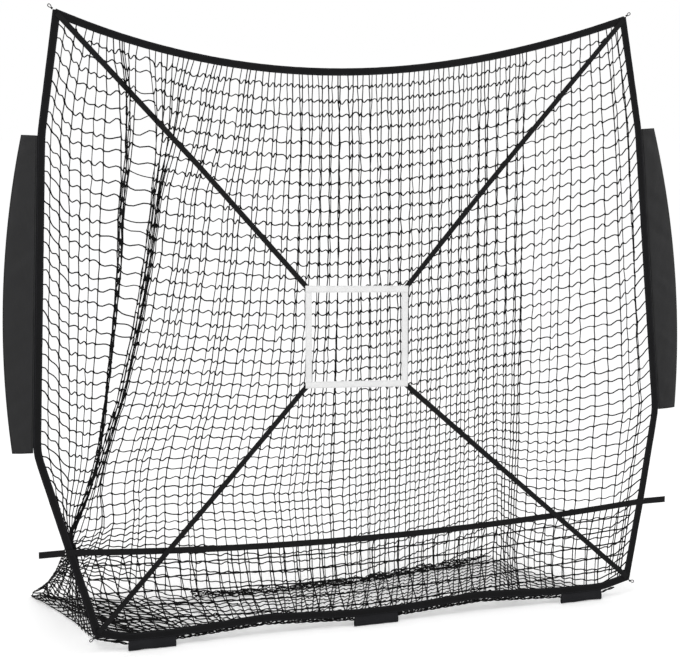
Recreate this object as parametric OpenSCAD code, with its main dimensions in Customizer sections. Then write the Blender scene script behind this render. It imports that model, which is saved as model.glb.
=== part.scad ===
// Pitching target net: the net of a bow-frame practice target, without its poles.
// Millimetres. X runs to the right, Y to the back, Z up. The origin lies on the line of the
// base tube, under the middle of the bottom binding.

/* [Face outline] */
// Half width of the face at the top corners, to the middle of the side bindings
top_half = 1058; // [950:1:1110]
// Height of the top corners above the base tube
top_height = 2100; // [1850:1:2300]
// Distance of the top corners behind the base tube
top_back = 198; // [190:1:260]
// Sag of the top binding in the middle
top_sag = 190; // [60:1:260]
// Half width of the face at the upper ends of the sleeves
sleeve_top_half = 1120; // [1080:1:1150]
// Height of the upper ends of the sleeves
sleeve_top_height = 1701; // [1500:1:1800]
// Distance of the upper ends of the sleeves behind the base tube
sleeve_top_back = 180; // [150:1:200]
// Half width of the face at the lower ends of the sleeves
sleeve_foot_half = 1172; // [1140:1:1200]
// Height of the lower ends of the sleeves
sleeve_foot_height = 659; // [500:1:900]
// Distance of the lower ends of the sleeves behind the base tube
sleeve_foot_back = 104; // [80:1:120]
// Half width of the face at the cross strap
joint_half = 1080; // [1060:1:1150]
// Height of the ends of the cross strap
joint_height = 328; // [260:1:400]
// Distance of the ends of the cross strap behind the base tube
joint_back = 45; // [30:1:60]
// Half width of the face at the bottom corners
foot_half = 1003; // [950:1:1050]
// Height of the bottom corners
foot_height = 58; // [50:1:80]
// Distance of the bottom corners behind the base tube
foot_back = 2; // [0:1:10]

/* [Bindings] */
// Width of the folded binding round the net
binding_width = 26; // [20:1:32]
// Thickness of the folded binding
binding_thick = 3; // [2:0.1:4]
// Height of the bottom binding's lower edge over the tabs
tab_seam_height = 17; // [14:1:24]
// Rise of the bottom binding between two tabs
hem_rise = 18; // [4:1:30]

/* [Straps] */
// Width of the diagonal straps
strap_width = 19; // [15:1:25]
// Thickness of all strap webbing
strap_thick = 1.3; // [1:0.1:1.6]
// Length over which the two lengths of a diagonal strap are lapped and sewn
lap_length = 42; // [30:1:80]
// Place of the lap on the upper left strap, as a share of the way to the target
upper_left_lap = 0.51; // [0.3:0.01:0.7]
// Place of the lap on the upper right strap, as a share of the way to the target
upper_right_lap = 0.61; // [0.3:0.01:0.7]
// Place of the lap on the lower left strap, as a share of the way to the target
lower_left_lap = 0.58; // [0.3:0.01:0.7]
// Place of the lap on the lower right strap, as a share of the way to the target
lower_right_lap = 0.68; // [0.3:0.01:0.7]
// Width of the cross strap
cross_width = 22; // [18:1:28]
// Sag of the cross strap in the middle
cross_sag = 52; // [10:1:60]
// Distance by which the netting draws the middle of the cross strap back
cross_bow = 34; // [32:1:50]
// Length of the doubled end of the cross strap outside the side binding
strap_end_length = 88; // [60:1:120]

/* [Strike zone] */
// Outer width of the strike zone
zone_width = 391; // [300:1:480]
// Outer height of the strike zone
zone_height = 363; // [300:1:600]
// Width of the white webbing round the strike zone
zone_strip = 24; // [18:1:32]
// Height of the middle of the strike zone
zone_centre_height = 981; // [900:1:1100]
// Distance of the strike zone behind the base tube
zone_back = 181; // [170:1:195]
// Angle by which the strike zone hangs out of level, lower at the right
zone_turn = 2.2; // [0:0.1:4]

/* [Sleeves] */
// Width of a sleeve at its upper end, from the binding to the outer edge
sleeve_top_width = 53; // [45:1:80]
// Width of a sleeve at its lower end
sleeve_foot_width = 69; // [50:1:90]
// Outward bow of a sleeve's outer edge
sleeve_bow = 45; // [0:1:60]
// Clear depth of the channel for the pole
channel_depth = 11; // [9:0.5:16]
// Thickness of the sleeve cloth with its lining
cloth_thick = 1.2; // [0.8:0.1:1.6]
// Width of the flat seam between a sleeve's channel and the binding
seam_width = 7; // [5:0.5:12]

/* [Base tabs] */
// Length of a base tab along the binding
tab_length = 165; // [120:1:200]
// Distance from the middle tab to each outer tab
tab_spacing = 815; // [700:1:850]
// Height of a base tab below its seam
tab_drop = 34; // [26:1:36]
// Depth of a base tab, over both layers of its loop
tab_depth = 12; // [9:0.5:16]
// Thickness of a base tab's cloth
tab_wall = 1.5; // [1:0.1:2]

/* [Netting] */
// Thickness of the net cord as modelled
cord = 4.5; // [3:0.5:6]
// Cells across the back netting, the floor netting and the lower front netting
back_columns = 12; // [6:1:12]
// Cells down the back netting
back_rows = 14; // [8:1:14]
// Distance from the middle to the left gathered fold at the top binding
left_fold_half = 830; // [760:1:900]
// Distance from the middle to the right gathered fold at the top binding
right_fold_half = 935; // [880:1:960]
// Depth of the net on the ground in the middle
floor_depth = 530; // [400:1:600]
// Distance behind the base tube to which the rear left corner is pulled out
rear_left_back = 808; // [700:1:900]
// Distance from the middle to the rear left corner
rear_left_half = 1046; // [980:1:1080]
// Distance behind the base tube of the rear right corner
rear_right_back = 690; // [620:1:800]
// Distance from the middle to the rear right corner
rear_right_half = 800; // [740:1:900]
// Slack with which the lower front netting hangs back between its bindings
front_slack = 50; // [40:1:70]

/* [Corner loops] */
// Thickness of the elastic cord of the corner loops
loop_cord = 3; // [2:0.5:4]
// Width of a corner loop over its cord
loop_width = 15; // [12:1:24]
// Diameter of the knot of a corner loop
knot_size = 9; // [7:0.5:12]

/* [Hidden] */

// Gap left between two sewn pieces that lie on each other
gap = 0.3;
// Radius of the edge about which a base tab swings
tab_edge = 1;
// Level of the ground under the base tube's line
ground = tab_seam_height - tab_drop;
front = [0, -1, 0];
left = -1;
right = 1;

function unit(v) = v / norm(v);
function mix(a, b, t) = a + (b - a) * t;
function steps(a, b, n) = [for (i = [0:n]) mix(a, b, i / n)];
// Sides of a hull on a curve over -1 to 1 that is 1 in the middle and 0 at the ends
function hump(s) = 1 - s * s;

// ---- Face outline -----------------------------------------------------------------------
// Height, half width and distance back of the middle of a side binding, from the foot up
outline = [[foot_height, foot_half, foot_back],
           [joint_height, joint_half, joint_back],
           [sleeve_foot_height, sleeve_foot_half, sleeve_foot_back],
           [sleeve_top_height, sleeve_top_half, sleeve_top_back],
           [top_height, top_half, top_back]];
function side_half(h) = lookup(h, [for (p = outline) [p[0], p[1]]]);
function side_back(h) = lookup(h, [for (p = outline) [p[0], p[2]]]);
function side_point(side, h) = [side * side_half(h), side_back(h), h];

// Slant of the side bindings at the foot and at the top, as run over rise
foot_slope = (joint_half - foot_half) / (joint_height - foot_height);
top_slope = (top_half - sleeve_top_half) / (top_height - sleeve_top_height);

// Ends of a side binding's middle line, and the outer corners of its ends
function side_run(side, up) = up > 0
    ? unit(side_point(side, top_height) - side_point(side, sleeve_top_height))
    : unit(side_point(side, foot_height) - side_point(side, joint_height));
function side_tip(side, up) =
    side_point(side, up > 0 ? top_height : foot_height) + side_run(side, up) * binding_width / 2.5;
function outer_corner(side, up) =
    let (run = side_run(side, up))
    side_tip(side, up) + side * up * cross(run, facing(run)) * binding_width / 2;

function top_z(x) = top_height - top_sag * hump(x / top_half);
function top_point(x) = [x, top_back, top_z(x)];

// The bottom binding is low over each tab and arches between them
hem_low = tab_seam_height + tab_edge + gap + binding_width / 2;
hem_line = [[0, hem_low], [tab_length / 2, hem_low],
            [tab_spacing / 2, hem_low + hem_rise],
            [tab_spacing - tab_length / 2, hem_low], [tab_spacing + tab_length / 2, hem_low],
            [foot_half, foot_height]];
function hem_z(x) = lookup(abs(x), hem_line);
function hem_back(x) = foot_back * abs(x) / foot_half;
function hem_point(x) = [x, hem_back(x), hem_z(x)];

// ---- Bands of webbing -------------------------------------------------------------------
function tangent(path, i) =
    unit(path[min(i + 1, len(path) - 1)] - path[max(i - 1, 0)]);
function facing(t) = unit(front - t * (t * front));

// Corners of a flat band of width w and thickness t at station i of its path
function band_ring(path, i, w, t, cut) =
    let (run = tangent(path, i), along = is_undef(cut) ? run : unit(cut),
         out = facing(along), across = cross(out, along), reach = w / 2 / (along * run))
    [for (c = [[-1, -1], [1, -1], [1, 1], [-1, 1]])
        path[i] + across * (c[0] * reach) + out * (c[1] * t / 2)];

// cuts gives the directions square to the two ends, where an end is cut at a slant
module band(path, w, t, cuts) {
    last = len(path) - 1;
    rings = [for (i = [0:last])
        each band_ring(path, i, w, t, is_undef(cuts) ? undef : i == 0 ? cuts[0] : i == last ? cuts[1] : undef)];
    sides = [for (i = [0:last - 1]) for (k = [0:3])
                let (a = 4 * i + k, b = 4 * i + (k + 1) % 4)
                each [[a, b + 4, b], [a, a + 4, b + 4]]];
    ends = [[0, 1, 2], [0, 2, 3],
            [4 * last + 2, 4 * last + 1, 4 * last], [4 * last + 3, 4 * last + 2, 4 * last]];
    polyhedron(rings, concat(sides, ends));
}

// ---- Netting ----------------------------------------------------------------------------
// A net panel is a grid of knots joined by square cords. Each knot has four corners on each
// face of the net, and each cord runs between the corners of two knots.
function knot_corners(grid, r, c) =
    let (rows = len(grid) - 1, columns = len(grid[0]) - 1,
         u = unit(grid[r][min(c + 1, columns)] - grid[r][max(c - 1, 0)]),
         v = unit(grid[min(r + 1, rows)][c] - grid[max(r - 1, 0)][c]),
         n = unit(cross(u, v)), a = cord / 2)
    [for (face = [-1, 1]) for (q = [[-1, -1], [1, -1], [1, 1], [-1, 1]])
        grid[r][c] + (u * q[0] + v * q[1] + n * face) * a];

module net(grid) {
    rows = len(grid) - 1;
    columns = len(grid[0]) - 1;
    points = [for (r = [0:rows]) for (c = [0:columns]) each knot_corners(grid, r, c)];
    // Corner q of knot (r, c): 0 to 3 on one face of the net, 4 to 7 on the other
    function at(r, c, q) = 8 * (r * (columns + 1) + c) + q;
    function quad(a, b, c, d) = [[a, b, c], [a, c, d]];
    function faces_of(a, b, c, d, e, f, g, h) = concat(quad(a, b, c, d), quad(h, g, f, e));
    knots = [for (r = [0:rows]) for (c = [0:columns])
        each faces_of(at(r, c, 0), at(r, c, 1), at(r, c, 2), at(r, c, 3),
                      at(r, c, 4), at(r, c, 5), at(r, c, 6), at(r, c, 7))];
    across = [for (r = [0:rows]) for (c = [0:columns - 1])
        each faces_of(at(r, c, 1), at(r, c + 1, 0), at(r, c + 1, 3), at(r, c, 2),
                      at(r, c, 5), at(r, c + 1, 4), at(r, c + 1, 7), at(r, c, 6))];
    down = [for (r = [0:rows - 1]) for (c = [0:columns])
        each faces_of(at(r, c, 3), at(r, c, 2), at(r + 1, c, 1), at(r + 1, c, 0),
                      at(r, c, 7), at(r, c, 6), at(r + 1, c, 5), at(r + 1, c, 4))];
    function wall(a, b) = quad(b, a, a + 4, b + 4);
    holes = [for (r = [0:rows - 1]) for (c = [0:columns - 1])
        let (p = [at(r, c, 2), at(r, c + 1, 3), at(r + 1, c + 1, 0), at(r + 1, c, 1)])
        each [for (k = [0:3]) each wall(p[(k + 1) % 4], p[k])]];
    rim_points = concat(
        [for (c = [0:columns]) each [at(0, c, 0), at(0, c, 1)]],
        [for (r = [0:rows]) each [at(r, columns, 1), at(r, columns, 2)]],
        [for (c = [columns:-1:0]) each [at(rows, c, 2), at(rows, c, 3)]],
        [for (r = [rows:-1:0]) each [at(r, 0, 3), at(r, 0, 0)]]);
    count = len(rim_points);
    rim = [for (k = [0:count - 1])
        let (a = rim_points[k], b = rim_points[(k + 1) % count])
        if (a != b) each wall(a, b)];
    polyhedron(points, concat(knots, across, down, holes, rim));
}

// Distance from the middle of a binding to the net that is sewn behind it
behind = binding_thick / 2 + gap + 0.75 * cord;
// Room on each side of the line where two net panels meet
seam_room = 0.8 * cord;
// Distance above and below the cross strap at which the side netting is divided
strap_room = cross_width / 2 + 2 * cord;
// Level of the back netting's lowest row, which lies on the floor netting's rear row
crease_level = ground + 1.9 * cord;

// Heights of the knots along a side binding, with one on each corner of the outline
side_heights = concat(steps(top_height - 70, sleeve_top_height, 2),
                      [for (h = steps(sleeve_top_height, sleeve_foot_height, 6))
                          if (h < sleeve_top_height) h],
                      [for (h = steps(sleeve_foot_height, joint_height + strap_room, 2))
                          if (h < sleeve_foot_height) h]);
side_count = len(side_heights) - 1;

// Gathered fold between the side netting and the back netting, drawn in to the cross strap
function fold_half(side) = side < 0 ? left_fold_half : right_fold_half;
function fold_point(side, t) =
    let (head = [side * fold_half(side), top_back + behind, top_z(fold_half(side)) - binding_width],
         foot = side_point(side, joint_height + strap_room) + [-side * 9 * cord, behind + 2 * cord, 0])
    mix(head, foot, t) + [-side * 70, 45, 0] * (4 * t * (1 - t)) * (1 - t / 2);

// The rear corner, and the free edge of the net that runs to it from the cross strap
function rear_half(side) = side < 0 ? rear_left_half : rear_right_half;
function rear_corner(side) =
    [side * rear_half(side), side < 0 ? rear_left_back : rear_right_back, crease_level];
function rear_edge(side, t) =
    let (head = side_point(side, joint_height - strap_room) + [-side * 9 * cord, behind + 14 * cord, 0])
    mix(head, rear_corner(side), t) - [0, 0, 1] * (joint_height / 4) * (4 * t * (1 - t));

// Edge of the back netting: the fold down to the cross strap, then the free edge to the rear
rear_rows = 4;
fold_rows = back_rows - rear_rows - 1;
function back_edge(side, r) = r <= fold_rows
    ? fold_point(side, r / fold_rows)
    : rear_edge(side, (r - fold_rows - 1) / rear_rows);

// Middle of the back netting, from the top binding down to the crease on the ground
function back_middle(t) =
    let (fall = mix(top_z(0) - binding_width, crease_level, t),
         drawn = pow(t, 2.4))
    [0, mix(top_back + behind, floor_depth, drawn), fall];

function back_knot(r, c) =
    let (u = c / back_columns, t = r / back_rows, s = 2 * u - 1,
         a = back_edge(left, r) + [seam_room, 0, 0],
         b = back_edge(right, r) - [seam_room, 0, 0],
         flat = mix(a, b, u), middle = mix(a, b, 0.5), bag = 1 - pow(abs(s), 3),
         sagged = back_middle(t) - middle)
    [flat[0], flat[1] + sagged[1] * bag, flat[2] + sagged[2] * mix(hump(s), bag, t)];
back_grid = [for (r = [0:back_rows]) [for (c = [0:back_columns]) back_knot(r, c)]];

side_columns = 2;
function side_grid(side) = [for (r = [0:side_count])
    let (rim = side_point(side, side_heights[r]) + [0, behind, 0],
         fold = fold_point(side, r / side_count) + [side * seam_room, 0, 0])
    [for (c = [0:side_columns]) mix(rim, fold, c / side_columns)]];

lower_columns = 3;
function lower_side_grid(side) =
    let (lie = [0, behind + 0.06 * cord, 0],
         corner = side_point(side, foot_height + binding_width) + lie,
         low = ground + 1.9 * cord)
    [for (r = [0:rear_rows])
        let (t = r / rear_rows,
             rim = mix(side_point(side, joint_height - strap_room) + lie, corner, t),
             edge = rear_edge(side, t) + [side * (seam_room + 2.4 * cord * t), 0, 0])
        [for (c = [0:lower_columns])
            let (w = c / lower_columns, p = mix(rim, edge, w))
            [p[0] - side * 60 * t * w * (1 - w) * 4, p[1], max(low, p[2] - 60 * t * w * (1 - w) * 4)]]];

// The crease is the rear line of the floor netting and lies under the back netting's lowest row
floor_rows = 3;
function floor_knot(r, c) =
    let (u = c / back_columns, t = r / floor_rows, x = mix(-foot_half, foot_half, u) * 0.965,
         fore = hem_point(x) + [0, behind, -binding_width / 4],
         rear = back_grid[back_rows][c],
         p = mix(fore, rear, t))
    [p[0], p[1], r == 0 ? fore[2] : ground + cord / 2];
floor_grid = [for (r = [0:floor_rows]) [for (c = [0:back_columns]) floor_knot(r, c)]];

// Cross strap, and the lower front netting that hangs from it
cross_half = joint_half - cross_width / 2 * foot_slope - binding_width / 2 * norm([1, foot_slope]);
function cross_point(x) =
    [x, joint_back + cross_bow * hump(x / joint_half), joint_height - cross_sag * hump(x / joint_half)];
front_rows = 2;
function front_knot(r, c) =
    let (u = c / back_columns, t = r / front_rows,
         head_x = mix(-1, 1, u) * (cross_half - 3 * cord),
         foot_x = mix(-1, 1, u) * (foot_half - binding_width),
         head = cross_point(head_x) + [0, strap_thick / 2 + gap + cord, 0],
         foot = hem_point(foot_x) + [0, behind, binding_width / 4])
    mix(head, foot, t) + [0, front_slack * 4 * t * (1 - t) * (1 - pow(abs(2 * u - 1), 6)), 0];
front_grid = [for (r = [0:front_rows]) [for (c = [0:back_columns]) front_knot(r, c)]];

module back_netting() { color("#202022") net(back_grid); }
module left_side_netting() { color("#242426") net(side_grid(left)); }
module right_side_netting() { color("#242426") mirrored_net(side_grid(right)); }
module left_lower_side_netting() { color("#2a2a2c") net(lower_side_grid(left)); }
module right_lower_side_netting() { color("#2a2a2c") mirrored_net(lower_side_grid(right)); }
module floor_netting() { color("#1c1c1e") net(floor_grid); }
module lower_front_netting() { color("#303033") net(front_grid); }

// The right panels run from the rim inwards too, so their columns are turned round
module mirrored_net(grid) {
    net([for (row = grid) [for (c = [len(row) - 1:-1:0]) row[c]]]);
}

// ---- Bindings ---------------------------------------------------------------------------
module side_binding(side) {
    bends = [joint_height, sleeve_foot_height, sleeve_top_height];
    path = concat([side_tip(side, -1)], [for (h = bends) side_point(side, h)], [side_tip(side, 1)]);
    band(path, binding_width, binding_thick);
}
module left_binding() { color("#1b1b1d") side_binding(left); }
module right_binding() { color("#1b1b1d") side_binding(right); }

// Distance from the middle of the face at which the top and bottom bindings stop
edge_rise = 2 * top_sag / top_half;
top_end = top_half - (binding_width / 2 * norm([1, top_slope]) + 2 * gap) / (1 - top_slope * edge_rise);
hem_end_rise = (foot_height - hem_low) / (foot_half - tab_spacing - tab_length / 2);
foot_end = foot_half - (binding_width / 2 * norm([1, foot_slope]) + 2 * gap) / (1 - foot_slope * hem_end_rise);
module top_binding() {
    color("#1b1b1d")
    band([for (x = steps(-top_end, top_end, 24)) top_point(x)], binding_width, binding_thick,
         [[1, 0, top_slope], [1, 0, -top_slope]]);
}
module bottom_binding() {
    stations = [for (p = hem_line) if (p[0] > 0 && p[0] < foot_end) p[0]];
    right_side = concat(stations, [foot_end]);
    left_side = [for (i = [len(right_side) - 1:-1:0]) -right_side[i]];
    color("#1b1b1d")
    band([for (x = concat(left_side, right_side)) hem_point(x)], binding_width, binding_thick,
         [[1, 0, foot_slope], [1, 0, -foot_slope]]);
}

// ---- Strike zone ------------------------------------------------------------------------
layer = strap_thick + gap;
module in_zone(back = 0) {
    translate([0, zone_back + back, zone_centre_height]) rotate([0, zone_turn, 0]) children();
}
// A point of the target's plane: x across and z up from the middle of the zone
function zone_point(x, z, back = 0) =
    [x * cos(zone_turn) + z * sin(zone_turn), zone_back + back,
     zone_centre_height - x * sin(zone_turn) + z * cos(zone_turn)];

module zone_strip_piece(across, up, x, z, back) {
    color("#eeeeee") in_zone(back) translate([x, 0, z]) cube([across, strap_thick, up], center = true);
}
module zone_top_strip() { zone_strip_piece(zone_width, zone_strip, 0, (zone_height - zone_strip) / 2, -layer); }
module zone_bottom_strip() { zone_strip_piece(zone_width, zone_strip, 0, -(zone_height - zone_strip) / 2, -layer); }
module zone_left_strip() { zone_strip_piece(zone_strip, zone_height, -(zone_width - zone_strip) / 2, 0, 0); }
module zone_right_strip() { zone_strip_piece(zone_strip, zone_height, (zone_width - zone_strip) / 2, 0, 0); }

// ---- Diagonal straps --------------------------------------------------------------------
// Both ends of a strap: in front of the binding at the corner, behind the zone at the target
function strap_corner(side, up) =
    let (p = up > 0 ? side_point(side, top_height) : side_point(side, foot_height))
    p + [0, -binding_thick / 2 - gap - strap_thick / 2 - (up > 0 ? 0.7 : 1.3), 0];
function strap_target(side, up) =
    zone_point(side * (zone_width - zone_strip) / 2, up * (zone_height - zone_strip) / 2, layer);
// The lap stands a little off the straight line, where the two lengths are sewn
function strap_lap(side, up, share) =
    mix(strap_corner(side, up), strap_target(side, up), share) + [0, 0, up > 0 ? 9 : -2];

// A lower strap lies flat on the bindings' corner, and each strap lies flat behind the zone
function strap_bend(side, up, to) =
    let (a = strap_corner(side, up), run = to - a)
    a + unit(up > 0 ? run : [run[0], 0, run[2]]) * binding_width * 1.6;
module corner_length(side, up, share) {
    a = strap_corner(side, up);
    b = strap_lap(side, up, share);
    bend = strap_bend(side, up, b);
    end = b + unit(b - bend) * lap_length / 2;
    color("#222224") band([a, bend, end], strap_width, strap_thick);
}
module target_length(side, up, share) {
    a = strap_lap(side, up, share);
    b = strap_target(side, up);
    bend = b - unit([b[0] - a[0], 0, b[2] - a[2]]) * zone_strip * 1.2;
    along = unit(a - strap_bend(side, up, a));
    over = [0, -layer - 0.2, 0];
    color("#222224")
    band([a - along * lap_length / 2 + over, a + along * lap_length + over, bend, b], strap_width, strap_thick);
}
module upper_left_corner_strap() { corner_length(left, 1, upper_left_lap); }
module upper_left_target_strap() { target_length(left, 1, upper_left_lap); }
module upper_right_corner_strap() { corner_length(right, 1, upper_right_lap); }
module upper_right_target_strap() { target_length(right, 1, upper_right_lap); }
module lower_left_corner_strap() { corner_length(left, -1, lower_left_lap); }
module lower_left_target_strap() { target_length(left, -1, lower_left_lap); }
module lower_right_corner_strap() { corner_length(right, -1, lower_right_lap); }
module lower_right_target_strap() { target_length(right, -1, lower_right_lap); }

// ---- Cross strap ------------------------------------------------------------------------
module cross_strap() {
    color("#1f1f21")
    band([for (x = steps(-cross_half, cross_half, 16)) cross_point(x)], cross_width, strap_thick);
}
// The doubled end turns about a rounded edge beside the binding, to wrap the pole
end_thick = 2 * strap_thick;
joint_slope = (sleeve_foot_half - joint_half) / (sleeve_foot_height - joint_height);
pivot_out = binding_width / 2 * norm([1, joint_slope]) + cross_width / 2 * joint_slope + 1.4 * gap + end_thick / 2;
module strap_end(side) {
    color("#1f1f21") translate(side_point(side, joint_height) + [side * pivot_out, 0, 0]) {
        cylinder(d = end_thick, h = cross_width, center = true, $fn = 24);
        translate([side * strap_end_length / 2, 0, 0])
            cube([strap_end_length, end_thick, cross_width], center = true);
    }
}
module cross_strap_left_end() { strap_end(left); }
module cross_strap_right_end() { strap_end(right); }

// ---- Side sleeves -----------------------------------------------------------------------
sleeve_foot = side_point(right, sleeve_foot_height);
sleeve_run = side_point(right, sleeve_top_height) - sleeve_foot;
sleeve_length = norm(sleeve_run);
sleeve_up = sleeve_run / sleeve_length;
sleeve_front = facing(sleeve_up);
sleeve_out = -cross(sleeve_front, sleeve_up);
bead = cloth_thick / 2 + 0.2;
sleeve_start = binding_width / 2 + gap + bead;
// Places the sleeve's own frame: x out from the seam's turning line, y back, z up the seam
module on_seam(side) {
    o = sleeve_foot + sleeve_out * sleeve_start;
    mirror([side < 0 ? 1 : 0, 0, 0])
    multmatrix([[sleeve_out[0], -sleeve_front[0], sleeve_up[0], o[0]],
                [sleeve_out[1], -sleeve_front[1], sleeve_up[1], o[1]],
                [sleeve_out[2], -sleeve_front[2], sleeve_up[2], o[2]],
                [0, 0, 0, 1]])
    children();
}
function sleeve_width_at(t) = mix(sleeve_foot_width, sleeve_top_width, t) + sleeve_bow * 4 * t * (1 - t);
function sleeve_edge(inset) = [for (t = steps(0, 1, 12)) [sleeve_width_at(t) - inset, t * sleeve_length]];
function sleeve_outline(from, inset) =
    concat([[from, 0]], sleeve_edge(inset), [[from, sleeve_length]]);

// A flat piece of the sleeve, drawn in the seam's plane and given its thickness backwards
module sleeve_sheet(points, y, thick) {
    translate([0, y + thick, 0]) rotate([90, 0, 0]) linear_extrude(thick) polygon(points);
}
module sleeve_panel(side, y) {
    color("#17171a") on_seam(side) sleeve_sheet(sleeve_outline(seam_width, 0), y, cloth_thick);
}
module sleeve_front_panel(side) { sleeve_panel(side, -channel_depth / 2 - cloth_thick); }
module sleeve_back_panel(side) { sleeve_panel(side, channel_depth / 2); }
// The outer edge closes the channel and follows the bow
module sleeve_outer(side) {
    rim = concat(sleeve_edge(0), [for (i = [12:-1:0]) sleeve_edge(cloth_thick)[i]]);
    color("#141416") on_seam(side) sleeve_sheet(rim, -channel_depth / 2, channel_depth);
}
// The seam has a bead that turns beside the binding, a flat flange and the channel's inner wall
module sleeve_seam(side) {
    color("#141416") on_seam(side) {
        cylinder(r = bead, h = sleeve_length, $fn = 24);
        translate([0, -cloth_thick / 2, 0]) cube([seam_width, cloth_thick, sleeve_length]);
        translate([seam_width, -channel_depth / 2, 0]) cube([cloth_thick, channel_depth, sleeve_length]);
    }
}
module left_sleeve_front() { sleeve_front_panel(left); }
module left_sleeve_back() { sleeve_back_panel(left); }
module left_sleeve_seam() { sleeve_seam(left); }
module left_sleeve_outer_edge() { sleeve_outer(left); }
module right_sleeve_front() { sleeve_front_panel(right); }
module right_sleeve_back() { sleeve_back_panel(right); }
module right_sleeve_seam() { sleeve_seam(right); }
module right_sleeve_outer_edge() { sleeve_outer(right); }

// ---- Base tabs --------------------------------------------------------------------------
// A loop of cloth: both layers lie together at the seam, and its edge is round so that it swings
module base_tab(x) {
    half = tab_depth / 2;
    module loop_outline(inset) {
        polygon([[inset - half, inset - tab_drop], [half - inset, inset - tab_drop],
                 [half - inset, -tab_depth - inset], [tab_edge, -half - inset],
                 [-tab_edge, -half - inset], [inset - half, -tab_depth - inset]]);
    }
    color("#19191b")
    translate([x - tab_length / 2, hem_back(x), tab_seam_height]) rotate([90, 0, 90])
    linear_extrude(tab_length) {
        circle(r = tab_edge, $fn = 24);
        translate([-tab_edge, -half]) square([2 * tab_edge, half]);
        difference() {
            loop_outline(0);
            loop_outline(tab_wall);
        }
    }
}
module left_base_tab() { base_tab(-tab_spacing); }
module middle_base_tab() { base_tab(0); }
module right_base_tab() { base_tab(tab_spacing); }

// ---- Corner loops -----------------------------------------------------------------------
// An elastic loop with its knot, standing out from a corner at an angle to the horizontal
module corner_loop(side, at, angle) {
    ring = (loop_width - loop_cord) / 2;
    color("#4a4a4e") translate(at) mirror([side < 0 ? 1 : 0, 0, 0]) rotate([0, -angle, 0]) {
        translate([knot_size / 2, 0, 0]) sphere(d = knot_size, $fn = 24);
        translate([knot_size + ring, 0, 0]) rotate([90, 0, 0])
            rotate_extrude($fn = 32) translate([ring, 0]) circle(d = loop_cord, $fn = 16);
    }
}
function loop_root(side, up) = outer_corner(side, up) + [side * gap, 0, up * gap];
module upper_left_loop() { corner_loop(left, loop_root(left, 1), 45); }
module upper_right_loop() { corner_loop(right, loop_root(right, 1), 35); }
module lower_left_loop() { corner_loop(left, loop_root(left, -1), -35); }
module lower_right_loop() { corner_loop(right, loop_root(right, -1), -15); }

back_netting();
left_side_netting();
right_side_netting();
left_lower_side_netting();
right_lower_side_netting();
floor_netting();
lower_front_netting();
top_binding();
left_binding();
right_binding();
bottom_binding();
upper_left_corner_strap();
upper_left_target_strap();
upper_right_corner_strap();
upper_right_target_strap();
lower_left_corner_strap();
lower_left_target_strap();
lower_right_corner_strap();
lower_right_target_strap();
zone_top_strip();
zone_bottom_strip();
zone_left_strip();
zone_right_strip();
cross_strap();
cross_strap_left_end();
cross_strap_right_end();
left_sleeve_front();
left_sleeve_back();
left_sleeve_seam();
left_sleeve_outer_edge();
right_sleeve_front();
right_sleeve_back();
right_sleeve_seam();
right_sleeve_outer_edge();
left_base_tab();
middle_base_tab();
right_base_tab();
upper_left_loop();
upper_right_loop();
lower_left_loop();
lower_right_loop();
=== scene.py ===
import bpy
import bmesh
import math
import random
from mathutils import Matrix, Vector, noise


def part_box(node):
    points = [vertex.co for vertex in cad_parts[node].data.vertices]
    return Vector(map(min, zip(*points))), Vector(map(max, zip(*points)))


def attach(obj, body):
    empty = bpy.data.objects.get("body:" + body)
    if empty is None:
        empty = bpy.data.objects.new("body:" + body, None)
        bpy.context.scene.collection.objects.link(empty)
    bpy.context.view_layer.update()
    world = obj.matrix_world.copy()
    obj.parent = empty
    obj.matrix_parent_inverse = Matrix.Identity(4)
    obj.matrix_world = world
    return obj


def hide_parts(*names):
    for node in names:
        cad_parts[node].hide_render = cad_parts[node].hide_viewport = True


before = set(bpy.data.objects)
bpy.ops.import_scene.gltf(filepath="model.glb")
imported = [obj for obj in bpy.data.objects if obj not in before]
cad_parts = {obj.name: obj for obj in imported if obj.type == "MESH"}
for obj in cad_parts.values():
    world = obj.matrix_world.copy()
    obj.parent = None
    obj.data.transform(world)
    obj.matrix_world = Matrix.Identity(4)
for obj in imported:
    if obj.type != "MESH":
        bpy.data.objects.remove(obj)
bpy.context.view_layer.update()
print("frame loaded")

mm = 0.001  # every size below is in millimetres, and is turned to metres when a mesh is made


# Small helpers

def mix(a, b, t):
    return a + (b - a) * t


def lookup(table, key):
    # value at key in a table of (key, value) or (key, value, value) rows with rising keys
    rows = sorted(table)
    values = [row[1:] for row in rows]
    if key <= rows[0][0]:
        found = values[0]
    elif key >= rows[-1][0]:
        found = values[-1]
    else:
        i = next(i for i in range(len(rows) - 1) if rows[i + 1][0] >= key)
        t = (key - rows[i][0]) / (rows[i + 1][0] - rows[i][0])
        found = [mix(a, b, t) for a, b in zip(values[i], values[i + 1])]
    return found[0] if len(found) == 1 else tuple(found)


def walk(points):
    # running length at each point of a line
    lengths = [0.0]
    for a, b in zip(points, points[1:]):
        lengths.append(lengths[-1] + (b - a).length)
    return lengths


def resample(points, step, smoothing=0):
    # evenly spaced points along a line, with its bends eased
    lengths = walk(points)
    count = max(2, round(lengths[-1] / step))
    table = [(s, *p) for s, p in zip(lengths, points)]
    line = [Vector(lookup(table, lengths[-1] * i / count)) for i in range(count + 1)]
    for _ in range(smoothing):
        line = [line[0]] + [(a + b * 2 + c) / 4 for a, b, c in zip(line, line[1:], line[2:])] + [line[-1]]
    return line


def link(name, data, material, node, body):
    obj = bpy.data.objects.new(name, data)
    bpy.context.scene.collection.objects.link(obj)
    obj.data.materials.append(material)
    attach(obj, body)
    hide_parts(node)
    return obj


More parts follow.
